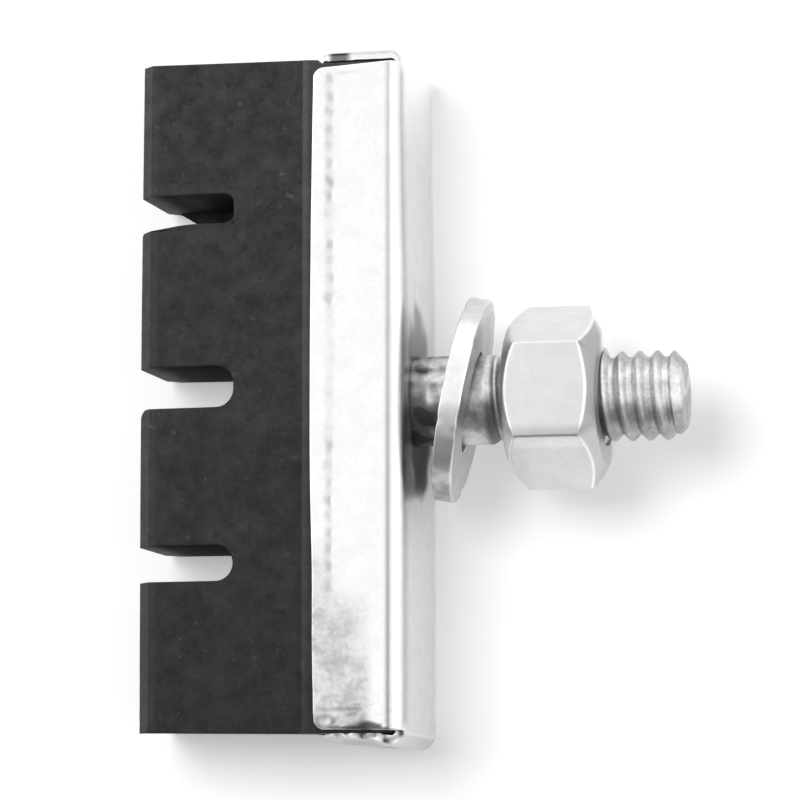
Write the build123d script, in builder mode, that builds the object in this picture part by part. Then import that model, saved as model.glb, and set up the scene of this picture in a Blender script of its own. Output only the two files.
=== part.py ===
from build123d import *
import os
from math import atan, cos, radians, sin, sqrt, tan

# Bicycle rim brake pad: a moulded rubber block held in a folded steel shoe, with a threaded stud,
# a loose washer and a hexagon nut. It lies on its side, as it comes to rest on a bench.
# X runs along the stud, away from the rubber. Y runs along the block. Z is up.
# The origin is on the stud's axis, at the outside of the shoe's back plate. Lengths are in millimetres.

# Folded shoe
SHEET = 0.8                 # thickness of the sheet
SHOE_LENGTH = 49.0          # over the two end tongues
SHOE_WIDTH = 12.2           # over the two side walls
WALL_HEIGHT = 6.7           # back plate to the free edge of a side wall
WALL_SETBACK = 1.0          # each end of a side wall, behind the outside of the tongue
WALL_TRIM = 0.35            # each wall end leans in by this much at the free edge
WALL_CORNER = 0.7           # rounding of a wall's free corners
BEND_INSIDE = 0.2           # inside radius of every fold
TONGUE_HEIGHT = 6.2         # back plate to the free end of a tongue
TONGUE_WIDTH = 10.3
TONGUE_CORNER = 2.2         # rounding of a tongue's free corners
CRIMP_INSET = 1.5           # crimp line to the wall's free edge
CRIMP_WIDTH = 0.6
CRIMP_DEPTH = 0.12
CRIMP_MARGIN = 1.75         # each end of the crimp line to the end of its wall
SHEET_EDGE = 0.12           # rounding of the cut edges

# Rubber block
RUBBER_FIT = 0.04           # to the inside of the shoe, all round
PAD_HEIGHT = 19.6           # back plate to the working face
FACE_WIDTH = 8.9            # working face before its long edges are bevelled
FACE_BEVEL = 0.9
BASE_CHAMFER = 0.5          # clears the inside of the folds
SLOT_PITCH = 12.5
SLOT_SHIFT = 0.9            # middle slot to the stud's axis
SLOT_DEPTH = 7.1
SLOT_WIDTHS = (2.5, 2.9, 2.5)
LIP_RADIUS = 0.35           # lower lip of each slot, at the working face
WEB = 0.9                   # skin of rubber left at the back of the upper slot
WEB_NOTCH = 0.1             # straight sides of the opening in that skin, past the lip

# Stud
STUD_DIAMETER = 6.35
HEAD_MARGIN = 0.6           # stud's head to the inside of the side walls
HEAD_THICKNESS = 1.8
HEAD_CHAMFER = 0.3
STUD_FREE = 5.5             # past the nut's outer face
TIP_CHAMFER = 0.8
PLATE_FIT = 0.03            # stud to the hole in the back plate
POCKET_FIT = 0.1            # stud's head to its pocket in the rubber

# Washer, leaning on the stud
WASHER_DIAMETER = 14.6
WASHER_THICKNESS = 1.35
WASHER_PLAY = 0.03          # hole to the stud at the nearest, as the washer leans
WASHER_LEAN_Y = 12.4        # its +Y rim leans away from the back plate, in degrees
WASHER_LEAN_Z = 7.0         # its upper rim leans away from the back plate, in degrees
WASHER_GAP = 0.7            # back plate to the nearest point of the washer
WASHER_LIFT = 0.12          # washer's centre above the stud's axis
WASHER_EDGE = 0.2           # corners broken by tumbling

# Nut
NUT_ACROSS_FLATS = 11.4
NUT_THICKNESS = 6.8
NUT_FACE_MARGIN = 0.45      # flat ring of each end face, inside the flats
NUT_GAP = 1.18              # washer's furthest point to the nut
NUT_FIT = 0.05              # nut to the stud's outside diameter
NUT_COUNTERSINK = 0.4

# Places worked out from the sizes above
half_width = SHOE_WIDTH / 2
wall_length = SHOE_LENGTH - 2 * WALL_SETBACK
bend_radius = BEND_INSIDE + SHEET
rubber_half_base = half_width - SHEET - RUBBER_FIT
rubber_half_face = FACE_WIDTH / 2
rubber_length = SHOE_LENGTH - 2 * (SHEET + RUBBER_FIT)
rubber_back = -SHEET - RUBBER_FIT
stud_radius = STUD_DIAMETER / 2
head_radius = half_width - SHEET - HEAD_MARGIN
lean_y = tan(radians(WASHER_LEAN_Y))
lean_z = tan(radians(WASHER_LEAN_Z))
washer_tilt = atan(sqrt(lean_y**2 + lean_z**2))
washer_slack = 2 * (WASHER_LIFT + WASHER_PLAY)
washer_hole = (STUD_DIAMETER + WASHER_THICKNESS * sin(washer_tilt)) / cos(washer_tilt) + washer_slack
washer_reach = WASHER_DIAMETER / 2 * sin(washer_tilt) + WASHER_THICKNESS / 2 * cos(washer_tilt)
washer_x = WASHER_GAP + washer_reach
nut_start = washer_x + washer_reach + NUT_GAP
nut_end = nut_start + NUT_THICKNESS
stud_end = nut_end + STUD_FREE
nut_corner_radius = NUT_ACROSS_FLATS / 2 / cos(radians(30))
nut_face_radius = NUT_ACROSS_FLATS / 2 - NUT_FACE_MARGIN

os.makedirs("parts", exist_ok=True)

# Shoe: one blank, folded up into two side walls and two end tongues
with BuildPart() as shoe:
    with BuildSketch(Plane.XZ):
        with BuildLine():
            FilletPolyline(
                (-WALL_HEIGHT, half_width),
                (0, half_width),
                (0, -half_width),
                (-WALL_HEIGHT, -half_width),
                radius=bend_radius,
            )
            offset(amount=SHEET, side=Side.RIGHT)
        make_face()
    extrude(amount=wall_length / 2, both=True)
    # the wall's side outline: ends that lean in, with rounded free corners
    with BuildSketch(Plane.XY) as wall_outline:
        with BuildLine():
            Polyline(
                (0, wall_length / 2),
                (-WALL_HEIGHT, wall_length / 2 - WALL_TRIM),
                (-WALL_HEIGHT, -wall_length / 2 + WALL_TRIM),
                (0, -wall_length / 2),
                close=True,
            )
        make_face()
        fillet(wall_outline.vertices().group_by(Axis.X)[0], WALL_CORNER)
    extrude(amount=SHOE_WIDTH, both=True, mode=Mode.INTERSECT)
    fillet(shoe.edges().group_by(Axis.X)[0], SHEET_EDGE)
    # the crimp line pressed along each wall
    for side in (1, -1):
        with BuildSketch(Plane.XY.offset(side * half_width)):
            with Locations((CRIMP_INSET - WALL_HEIGHT, 0)):
                SlotOverall(wall_length - 2 * CRIMP_MARGIN, CRIMP_WIDTH, rotation=90)
        extrude(amount=-side * CRIMP_DEPTH, mode=Mode.SUBTRACT)
    # back plate between the two end tongues
    with BuildSketch(Plane.XY):
        with BuildLine():
            FilletPolyline(
                (-TONGUE_HEIGHT, SHOE_LENGTH / 2),
                (0, SHOE_LENGTH / 2),
                (0, -SHOE_LENGTH / 2),
                (-TONGUE_HEIGHT, -SHOE_LENGTH / 2),
                radius=bend_radius,
            )
            offset(amount=SHEET, side=Side.RIGHT)
        make_face()
    extrude(amount=TONGUE_WIDTH / 2, both=True)
    for end in (1, -1):
        tongue_corners = (
            shoe.edges()
            .filter_by(Axis.Y)
            .filter_by_position(Axis.X, -TONGUE_HEIGHT - SHEET_EDGE, -TONGUE_HEIGHT + SHEET_EDGE)
            .group_by(Axis.Y)[-1 if end > 0 else 0]
        )
        fillet(tongue_corners, TONGUE_CORNER)
    # hole for the stud
    with BuildSketch(Plane.YZ):
        Circle(stud_radius + PLATE_FIT)
    extrude(amount=-2 * SHEET, mode=Mode.SUBTRACT)
shoe.part.label = "shoe"
export_step(shoe.part, "parts/shoe.step")

# Rubber block: straight where the shoe grips it, tapered to the working face, with three slots
with BuildPart() as rubber_block:
    with BuildSketch(Plane.XZ) as block_section:
        with BuildLine():
            Polyline(
                (rubber_back, rubber_half_base),
                (-WALL_HEIGHT, rubber_half_base),
                (FACE_BEVEL - PAD_HEIGHT, rubber_half_face),
                (-PAD_HEIGHT, rubber_half_face - FACE_BEVEL),
                (-PAD_HEIGHT, FACE_BEVEL - rubber_half_face),
                (FACE_BEVEL - PAD_HEIGHT, -rubber_half_face),
                (-WALL_HEIGHT, -rubber_half_base),
                (rubber_back, -rubber_half_base),
                close=True,
            )
        make_face()
        chamfer(block_section.vertices().group_by(Axis.X)[-1], BASE_CHAMFER)
    extrude(amount=rubber_length / 2, both=True)
    chamfer(rubber_block.edges().filter_by(Axis.Z).group_by(Axis.X)[-1], BASE_CHAMFER)
    for row, width in enumerate(SLOT_WIDTHS):
        slot_y = SLOT_SHIFT + (row - 1) * SLOT_PITCH
        closed_skin = WEB if row == len(SLOT_WIDTHS) - 1 else 0
        with BuildSketch(Plane.XY.offset(closed_skin - rubber_half_face)):
            with Locations((-PAD_HEIGHT, slot_y)):
                SlotOverall(2 * SLOT_DEPTH, width)
        extrude(amount=SHOE_WIDTH, mode=Mode.SUBTRACT)
        open_depth = LIP_RADIUS + WEB_NOTCH + width / 2 if closed_skin else SLOT_DEPTH
        with BuildSketch(Plane.XY.offset(-half_width)):
            with Locations((-PAD_HEIGHT, slot_y)):
                SlotOverall(2 * open_depth, width)
        extrude(amount=SHOE_WIDTH, mode=Mode.SUBTRACT)
        lower_lip = (
            rubber_block.edges()
            .filter_by(Axis.Z)
            .group_by(Axis.X)[0]
            .filter_by_position(Axis.Y, slot_y - width, slot_y)
        )
        fillet(lower_lip, LIP_RADIUS)
    # pocket for the stud's head
    with BuildSketch(Plane.YZ.offset(rubber_back)):
        Circle(head_radius + POCKET_FIT)
    extrude(amount=-HEAD_THICKNESS - POCKET_FIT, mode=Mode.SUBTRACT)
rubber_block.part.label = "rubber_block"
export_step(rubber_block.part, "parts/rubber_block.step")

# Stud: a flat head inside the shoe, and a shank that stands out of the back plate
with BuildPart() as stud:
    with BuildSketch(Plane.XY):
        with BuildLine():
            Polyline(
                (-SHEET - HEAD_THICKNESS, 0),
                (-SHEET - HEAD_THICKNESS, head_radius - HEAD_CHAMFER),
                (-SHEET - HEAD_THICKNESS + HEAD_CHAMFER, head_radius),
                (-SHEET, head_radius),
                (-SHEET, stud_radius),
                (stud_end - TIP_CHAMFER, stud_radius),
                (stud_end, stud_radius - TIP_CHAMFER),
                (stud_end, 0),
                close=True,
            )
        make_face()
    revolve(axis=Axis.X)
stud.part.label = "stud"
export_step(stud.part, "parts/stud.step")

# Washer: a punched disc that leans on the stud
washer_plane = Plane(
    origin=(washer_x, 0, WASHER_LIFT),
    x_dir=(lean_y, 1, 0),
    z_dir=(1, -lean_y, -lean_z),
)
with BuildPart() as washer:
    with BuildSketch(washer_plane):
        Circle(WASHER_DIAMETER / 2)
        Circle(washer_hole / 2, mode=Mode.SUBTRACT)
    extrude(amount=WASHER_THICKNESS / 2, both=True)
    chamfer(washer.edges(), WASHER_EDGE)
washer.part.label = "washer"
export_step(washer.part, "parts/washer.step")

# Nut: a hexagonal bar turned to a cone at both ends
with BuildPart() as nut:
    with BuildSketch(Plane.YZ.offset(nut_start)):
        RegularPolygon(NUT_ACROSS_FLATS / 2, 6, major_radius=False)
        Circle(stud_radius + NUT_FIT, mode=Mode.SUBTRACT)
    extrude(amount=NUT_THICKNESS)
    with BuildSketch(Plane.XY):
        with BuildLine():
            Polyline(
                (nut_start, 0),
                (nut_start, nut_face_radius),
                (nut_start + nut_corner_radius - nut_face_radius, nut_corner_radius),
                (nut_end - nut_corner_radius + nut_face_radius, nut_corner_radius),
                (nut_end, nut_face_radius),
                (nut_end, 0),
                close=True,
            )
        make_face()
    revolve(axis=Axis.X, mode=Mode.INTERSECT)
    bore_rims = nut.edges().filter_by(GeomType.CIRCLE).filter_by(
        lambda rim: abs(rim.radius - stud_radius - NUT_FIT) < NUT_FIT
    )
    chamfer(bore_rims, NUT_COUNTERSINK)
nut.part.label = "nut"
export_step(nut.part, "parts/nut.step")
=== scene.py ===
from collections import namedtuple
from types import SimpleNamespace

import bpy
import numpy as np
from mathutils import Matrix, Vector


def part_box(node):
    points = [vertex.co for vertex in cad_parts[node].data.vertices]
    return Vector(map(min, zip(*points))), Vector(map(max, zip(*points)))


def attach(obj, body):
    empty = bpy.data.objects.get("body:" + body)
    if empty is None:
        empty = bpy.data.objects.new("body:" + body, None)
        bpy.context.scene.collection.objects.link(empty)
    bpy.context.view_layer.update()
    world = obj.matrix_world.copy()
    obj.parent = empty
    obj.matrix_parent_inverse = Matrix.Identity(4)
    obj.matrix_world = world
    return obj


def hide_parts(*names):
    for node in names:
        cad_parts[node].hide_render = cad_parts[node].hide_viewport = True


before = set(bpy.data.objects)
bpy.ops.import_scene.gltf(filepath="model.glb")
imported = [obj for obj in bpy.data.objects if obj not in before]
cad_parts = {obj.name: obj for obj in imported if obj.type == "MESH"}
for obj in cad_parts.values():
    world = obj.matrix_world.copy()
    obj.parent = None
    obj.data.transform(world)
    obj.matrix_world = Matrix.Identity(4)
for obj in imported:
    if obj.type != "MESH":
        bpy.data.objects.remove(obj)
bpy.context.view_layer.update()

MM = 0.001
scene = bpy.context.scene
scene.view_settings.view_transform = "Standard"


def span(node):
    """Lowest and highest corner of a CAD node, in millimetres."""
    low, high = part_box(node)
    return np.array(low) / MM, np.array(high) / MM


# Boxes of the solids. Sizes and places here are in millimetres, in the shared frame.
SHOE_LOW, SHOE_HIGH = span("shoe")
BLOCK_LOW, BLOCK_HIGH = span("rubber_block")
STUD_LOW, STUD_HIGH = span("stud")
WASHER_LOW, WASHER_HIGH = span("washer")
NUT_LOW, NUT_HIGH = span("nut")

# Stud
STUD_RADIUS = 3.175
STUD_COLUMNS = 120
PITCH = 1.27  # right-hand thread
THREAD_DEPTH = 0.46
THREAD_PHASE = 13.28  # a crest passes the +Y side of the stud here
THREAD_START = 5.0  # the neck is plain up to here
THREAD_STEP = 0.035  # between the rings of the thread
CREST = 0.07  # half width of a crest, in pitches
FLANK = 0.30  # width of a flank, in pitches
FLANK_SOFTNESS = 0.20  # of the bends at both ends of a flank
HEAD_CHAMFER = 0.3
TIP_CHAMFER = 0.8

# Nut
NUT_SHORTER = 0.15  # its outer end stops short of the solid's
NUT_FACE = 5.25  # flat ring of the inner end face
NUT_OUTER_FACE = 4.8  # and of the outer one
NUT_CONE = 0.8  # run along X of the inner cone, per millimetre of radius
NUT_OUTER_CONE = 0.6  # and of the outer one
NUT_PLAY = 0.06  # from the stud's crests to the bore
NUT_MOUTH = 0.24  # from the stud's crests to the countersinks' rims
COUNTERSINK = 0.4  # depth of the countersinks
NUT_CORNERS = 85  # power of the soft maximum: higher for sharper corners
NUT_CUTS = np.array([0.1, 0.16, 0.24, 0.24, 0.16, 0.1])  # softened corners of its section

# Washer
WASHER_LEAN = np.radians([11.2, 6.0])  # of its axis, away from X towards -Y and -Z
WASHER_RADIUS = 7.3
WASHER_HOLE = 3.6
WASHER_HALF = 0.75  # half of its thickness
WASHER_COLUMNS = 220
WASHER_CUTS = np.array([0.16, 0.24, 0.22, 0.16])  # softened corners of its section
NICKS = 26
NICK_RING = 7.25  # radius of the ring the nicks lie on
NICK_DEPTH = 0.06

# Shoe
SHEET = 0.8
FOLD = 1.0  # outside radius of the folds
TONGUE = 6.2  # depth of the end tongues
WALL = -SHOE_LOW[0]  # depth of the side walls
FLAT_U = SHOE_HIGH[2] - FOLD
FLAT_V = SHOE_HIGH[1] - FOLD
ARC = FOLD * np.pi / 2
WALL_END = FLAT_U + ARC + WALL - FOLD
TONGUE_END = FLAT_V + ARC + TONGUE - FOLD
TONGUE_CORNERS = np.array([[2.2], [1.1]])  # radii, at the lower end and the upper
WALL_CORNER = 0.75
WALL_LEAN = 0.35, 0.10  # how far the walls' ends lean in, at the upper end and the lower
HOLE = STUD_RADIUS + 0.03
EDGE_RADIUS = 0.14  # of the rolled edges of the sheet
SHOE_LAYERS = 5  # rows of faces on a cut edge
FAR_AWAY = 9.0  # counts as far from every edge

# Marks on the shoe's walls
CRIMP = 1.5  # crimp line, from the free edge
CRIMP_BAND = 0.42  # half width of the finer grid along it
CRIMP_BEAT = 1.25  # from press to press
PRESS_LINE = -22.03  # Y of the lines and the ridge pressed across the lower end
SHORT_LINE = -21.72
RIDGE = -22.32
CURL = -5.45, -22.85  # X and Y of the curled corner
LIP = -2.6  # X where the crushed lip reaches furthest up

# Rubber block
FACE = BLOCK_LOW[0]  # the working face
BACK = BLOCK_HIGH[0]
BLOCK_END = BLOCK_HIGH[1]
BLOCK_HALF = BLOCK_HIGH[2]
BLOCK_RIM = 4.45  # half thickness behind the bevel of the working face
BEVEL = 0.9
BLOCK_EDGE = 0.13  # radius of its edges
STRIP = -7.42  # a rubbed strip runs along the shoe from here
SAWN = 17.0  # the sawn ends start to lean at this distance from the middle
SAWN_LENGTH = 6.66  # and lean in full this much further out
BLOCK_LAYERS = 4  # rows of faces on a side
NOTCH = 4.85  # half length of the stud head's room
NOTCH_X = -2.75
SLOT_DEPTH = 7.1
SLOT_BEND = FACE + SLOT_DEPTH - 1.3  # the grid's lines are straight up to here
BULGE = 3.2  # length behind it over which they bulge round a slot's end
CLOSING_LENGTH = 4.2  # from the working face, over which a wall closes in
SKIN = 0.9  # thickness of the skin at the back of the upper slot

# Lip is the radius of a slot's lower edge, and closing is how far its lower wall moves in
Slot = namedtuple("Slot", "middle width corner lip closing")
SLOTS = (Slot(-11.6, 2.5, 1.25, 0.12, 0.0), Slot(0.9, 2.9, 1.3, 0.7, 0.0), Slot(13.4, 2.5, 0.7, 0.3, 0.4))
UPPER_SLOT = SLOTS[-1]

# Grid lines close to an edge, as distances from it, and a length within rounding
EDGE = np.array([0, 0.02, 0.05, 0.09, 0.14, 0.2])
TINY = 1e-5

# Bench, through the shoe's lower edge and the washer's lowest point
BENCH_SLOPE = -0.1180
BENCH_LEVEL = -6.90
BENCH_HALF = 1500.0

# Camera: its swing to the stud's side, its nod, its distance, and its shift across and up
CAMERA_SWING = np.radians(12.7)
CAMERA_NOD = np.radians(6.7)
CAMERA_AWAY = 320.0
CAMERA_SHIFT = -1.45, 0.11
PICTURE = 800  # pixels
PIXELS_PER_MM = 14.1
SENSOR = 36

NODE_STEP = 220  # from node to node in a material's tree


# Numbers and meshes


def ripple(points, size, seed, waves=14):
    """Smooth noise: a sum of sine waves with random directions and phases, with wavelengths near size."""
    rng = np.random.default_rng(seed)
    direction = rng.normal(size=(waves, 3))
    direction /= np.linalg.norm(direction, axis=1, keepdims=True)
    wave = 2 * np.pi / (size * rng.uniform(0.7, 1.6, (waves, 1)))
    phase = rng.uniform(0, 2 * np.pi, waves)
    return np.sin(points @ (direction * wave).T + phase).sum(-1) * np.sqrt(2 / waves)


def smooth(x):
    """Ramp from 0 to 1 with level ends: 3x^2 - 2x^3, held outside 0 to 1."""
    x = np.clip(x, 0, 1)
    return x * x * (3 - 2 * x)


def bell(x, middle, width, power=2):
    """1 at the middle, and 1/e at a width from it. A higher power makes the top flatter."""
    return np.exp(-(np.abs((x - middle) / width) ** power))


def rolled(distance, radius):
    """Drop of a rounded edge at a distance from it: a quarter circle of that radius."""
    inside = np.clip(radius - distance, 0, radius)
    return radius - np.sqrt(radius**2 - inside**2)


def soften(path, cuts, steps=5):
    """Each inner corner of a path gives way to a parabola that starts and ends its cut away from it."""
    ahead = path[:, 1:] - path[:, :-1]
    ahead /= np.linalg.norm(ahead, axis=-1, keepdims=True)
    corner = path[:, 1:-1, None]
    start = corner - (ahead[:, :-1] * cuts[:, None])[:, :, None]
    stop = corner + (ahead[:, 1:] * cuts[:, None])[:, :, None]
    t = np.linspace(0, 1, steps)[:, None]
    curve = (1 - t) ** 2 * start + 2 * t * (1 - t) * corner + t**2 * stop
    curve = curve.reshape(len(path), -1, 2)
    return np.concatenate([path[:, :1], curve, path[:, -1:]], 1)


def grid_faces(rows, cols, wrap_rows=False):
    """Corner numbers of the cells of a grid that closes on itself along its columns."""
    r, c = np.meshgrid(np.arange(rows if wrap_rows else rows - 1), np.arange(cols), indexing="ij")
    r2, c2 = (r + 1) % rows, (c + 1) % cols
    return np.stack([r * cols + c, r * cols + c2, r2 * cols + c2, r2 * cols + c], -1).reshape(-1, 4)


def slab(front, back, keep, layers=1):
    """Closed solid between two grids of points. keep marks the solid cells, and a wall closes each border.

    Returns the points, the faces, the grid point behind each point, and its share of the way to the back."""
    rows, cols = front.shape[:2]
    total = rows * cols
    n = np.arange(total).reshape(rows, cols)
    cells = np.stack([n[:-1, :-1], n[1:, :-1], n[1:, 1:], n[:-1, 1:]], -1)[keep]
    edges = np.concatenate([cells[:, [0, 1]], cells[:, [1, 2]], cells[:, [2, 3]], cells[:, [3, 0]]])
    key = edges.min(1) * total + edges.max(1)
    _, first, uses = np.unique(key, return_index=True, return_counts=True)
    border = edges[first[uses == 1]]
    step = np.arange(layers)[:, None] * total
    start, stop = border[:, 1] + step, border[:, 0] + step
    walls = np.stack([start, stop, stop + total, start + total], -1).reshape(-1, 4)
    faces = np.concatenate([cells, cells[:, ::-1] + layers * total, walls])
    share = np.linspace(0, 1, layers + 1)[:, None, None]
    points = front.reshape(1, -1, 3) * (1 - share) + back.reshape(1, -1, 3) * share
    used, faces = np.unique(faces, return_inverse=True)
    return points.reshape(-1, 3)[used], faces.reshape(-1, 4), used % total, (used // total) / layers


def add_piece(name, points, faces, node, slot, finish, crease=None, **values):
    """Makes a mesh of points, in millimetres, in place of a CAD node.

    Edges that bend by more than crease, in degrees, stay sharp. Values are kept on the points by name."""
    mesh = bpy.data.meshes.new(name)
    mesh.from_pydata((points * MM).tolist(), [], faces)
    mesh.polygons.foreach_set("use_smooth", np.ones(len(mesh.polygons), bool))
    if crease:
        mesh.set_sharp_from_angle(angle=np.radians(crease))
    for key, value in values.items():
        mesh.attributes.new(key, "FLOAT", "POINT").data.foreach_set("value", value.astype(np.float32))
    mesh.materials.append(finish)
    mesh.update()
    piece = bpy.data.objects.new(name, mesh)
    scene.collection.objects.link(piece)
    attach(piece, "root")
    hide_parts(node)


# Stud


def thread_radius(x, turn):
    """Radius of the thread at x and angle turn: a 60 degree ridge along a right-hand helix.

    The distance from the nearest crest, in pitches, goes through a ramp with softened ends, so crest
    and root are narrow flats. The ridge grows out of the plain neck over one turn."""
    phase = (x - THREAD_PHASE) / PITCH - turn / (2 * np.pi)
    away = np.abs(phase - np.round(phase))
    ramp = (away - CREST) / FLANK
    depth = 0.5 * (1 + np.hypot(ramp, FLANK_SOFTNESS) - np.hypot(ramp - 1, FLANK_SOFTNESS))
    return STUD_RADIUS - THREAD_DEPTH * np.clip(depth, 0, 1) * smooth((x - THREAD_START) / PITCH)


def stud_soil_and_shade(points, x, degrees):
    """Dirt and painted shade on the stud, by ramps and bell curves along X and round the axis, in degrees
    from +Y.
    """
    # painted shade on the neck, on its lower side and near the plate; then random dark blotches
    below = smooth((330 - degrees) / 60)
    lower = smooth((degrees - 80) / 30) * below
    neck = np.clip(lower + 0.55 * smooth((1.35 - x) / 0.4) + 0.2 * ripple(points, 1.1, 7), 0, 1)
    stain_and_shade = 0.8 * neck * smooth((3.6 - x) / 1.0)
    stain_and_shade = stain_and_shade + 0.32 * smooth(ripple(points, 1.2, 8)) * smooth((5.4 - x) / 0.8)
    # painted shade on the lower side of the first turns of the thread, and on a spot of the neck inside the
    # washer's hole
    stain_and_shade = stain_and_shade + 0.8 * lower * bell(x, 5.6, 0.55, 4)
    stain_and_shade = stain_and_shade + 0.6 * bell(x, 4.5, 0.35) * bell(degrees, 116, 14)
    # the thread beyond the nut: painted shade on its lower side, a darker band along its upper side, and a
    # faint even coat
    beyond = smooth(x - 8)
    stain_and_shade = stain_and_shade + 0.38 * smooth((x - 8) / 2) * smooth((degrees - 100) / 30) * below + 0.08 * beyond
    upper = smooth((50 - np.abs((degrees + 172) % 360 - 180)) / 28)
    return np.clip(stain_and_shade + 0.36 * beyond * upper, 0, 1)


def make_stud(finish):
    """Surface of revolution about X: head, plain neck, threaded length and chamfered tip.

    Each row of the grid is a ring at one x. On the thread its radius follows the helix, cut back to
    the tip's cone. Sine waves dent it along its radius."""
    tip, head, base = STUD_HIGH[0], STUD_HIGH[1], STUD_LOW[0]
    tip_radius = STUD_RADIUS - TIP_CHAMFER
    turn = np.linspace(0, 2 * np.pi, STUD_COLUMNS, endpoint=False)
    outward = np.stack([np.cos(turn), np.sin(turn)], -1)
    rounded, flat = base + HEAD_CHAMFER, head - HEAD_CHAMFER
    head_x = np.array([base, base, rounded, rounded + 0.03, -SHEET - 0.02, -SHEET, -SHEET, -SHEET])
    head_r = np.array([0.3, flat, head, head, head, head - 0.02, STUD_RADIUS + 0.4, STUD_RADIUS])
    neck_x = np.linspace(-SHEET + 0.05, THREAD_START, 24)
    thread_x = np.arange(THREAD_START + THREAD_STEP, tip - 0.005, THREAD_STEP)
    x = np.concatenate([head_x, neck_x, thread_x])[:, None]
    plain = np.full(len(neck_x) + len(thread_x), STUD_RADIUS)
    r = np.concatenate([head_r, plain])[:, None]
    r = np.where(x > THREAD_START, np.minimum(thread_radius(x, turn), tip_radius + (tip - x)), r)
    end_x = tip - np.array([0.01, 0, 0.01, 0.02, 0.02])[:, None]
    end_r = np.array([0.97, 0.9, 0.6, 0.3, 0.12])[:, None] * tip_radius
    x = np.concatenate([x, end_x]) + 0 * turn
    r = np.concatenate([r, end_r + 0 * turn])
    points = np.stack([x, r * np.cos(turn), r * np.sin(turn)], -1)
    dents = ripple(points, 0.7, 5) * 0.006 + ripple(points, 2.2, 6) * 0.006
    points[..., 1:] += (dents * smooth(x / 2))[..., None] * outward
    rows, cols = x.shape
    faces = grid_faces(rows, cols).tolist()
    faces += [np.arange(cols - 1, -1, -1).tolist(), np.arange((rows - 1) * cols, rows * cols).tolist()]
    soil = stud_soil_and_shade(points, x, np.degrees(turn))
    add_piece("threaded_stud", points.reshape(-1, 3), faces, "stud", "stud_steel", finish, soil=soil.ravel())


# Nut


def nut_section(outer, turn, left, right):
    """X and radius of the nut's section at each angle, from the inner mouth over the outside and back.

    The outside is cut by a cone at both ends, and the way back runs through the threaded bore."""
    bore, mouth = STUD_RADIUS + NUT_PLAY, STUD_RADIUS + NUT_MOUTH
    path = [
        (left + COUNTERSINK, bore),
        (left, mouth),
        (left, NUT_FACE),
        (left + NUT_CONE * (outer - NUT_FACE), outer),
        (right - NUT_OUTER_CONE * (outer - NUT_OUTER_FACE), outer),
        (right, NUT_OUTER_FACE),
        (right, mouth),
        (right - COUNTERSINK, bore),
    ]
    path = np.stack([np.stack(np.broadcast_arrays(x, r, outer)[:2], -1) for x, r in path], 1)
    bore_x = np.arange(right - COUNTERSINK - 0.05, left + COUNTERSINK + 0.02, -0.05)
    fade = smooth((right - COUNTERSINK - bore_x) / 0.4) * smooth((bore_x - left - COUNTERSINK) / 0.4)
    ridge = thread_radius(bore_x, turn[:, None]) + NUT_PLAY
    bore_r = bore - (bore - ridge) * fade
    inside = np.stack([bore_x + 0 * bore_r, bore_r], -1)
    return np.concatenate([soften(path, NUT_CUTS), inside], 1)


def make_nut(finish):
    """Section carried round X: a hexagon's radius, cut by a cone at both ends, round a threaded bore.

    The hexagon's radius is the flats' distance over a soft maximum of the cosines to its six normals,
    which rounds its corners. Rows are placed on the cones' edges, so these stay crisp."""
    left, right = NUT_LOW[0], NUT_HIGH[0] - NUT_SHORTER
    flats = (NUT_HIGH[2] - NUT_LOW[2]) / 2
    middles = 30 + 60 * np.arange(6)
    sector = 30 * np.sin(np.linspace(-1, 1, 40, endpoint=False) * np.pi / 2)
    turn = np.radians((sector + middles[:, None]).ravel())
    cosine = np.clip(np.cos(turn[:, None] - np.radians(middles)), 1e-9, 1)
    outer = flats / (cosine**NUT_CORNERS).sum(1) ** (1 / NUT_CORNERS)
    x, r = np.moveaxis(nut_section(outer, turn, left, right), -1, 0).swapaxes(1, 2)
    y, z = r * np.cos(turn), r * np.sin(turn)
    # a darker coat on the flats, more on the lower ones as painted shade; painted shade on the outer end and
    # in its countersink; a dark nick at one corner and painted shade at another
    inset = outer - r
    soil = smooth((0.04 - inset) / 0.03) * np.where(y < -4, 0.29, 0.23)
    at_end = (x > (left + right) / 2) * (r > STUD_RADIUS + NUT_PLAY)
    low = smooth((-y - 1.5) / 1.5)
    shade_layer = 0.42 * low * smooth((z + 3) / 2) + 0.59 * (1 - low) * smooth((z - 1) / 2)
    # painted shade on the outer end, and in the lower half of its countersink
    soil += at_end * smooth((inset - 0.08) / 0.1) * shade_layer
    soil += 0.5 * at_end * smooth((STUD_RADIUS + NUT_MOUTH + 0.1 - r) / 0.1) * (y < 0)
    degrees = np.degrees(turn)
    # a dark nick at 60 degrees, and painted shade at the corner near 118 degrees
    nick = bell(degrees, 60, 1.4) * bell(inset, 0.12, 0.06)
    nick += bell(degrees, 118, 3.5) * bell(inset, 0.10, 0.10)
    soil = np.clip(soil + 0.6 * nick, 0, 1)
    points = np.stack([x, y, z], -1).reshape(-1, 3)
    faces = grid_faces(*x.shape, wrap_rows=True)
    add_piece("hexagon_nut", points, faces.tolist(), "nut", "nut_steel", finish, soil=soil.ravel())


# Washer


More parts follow.
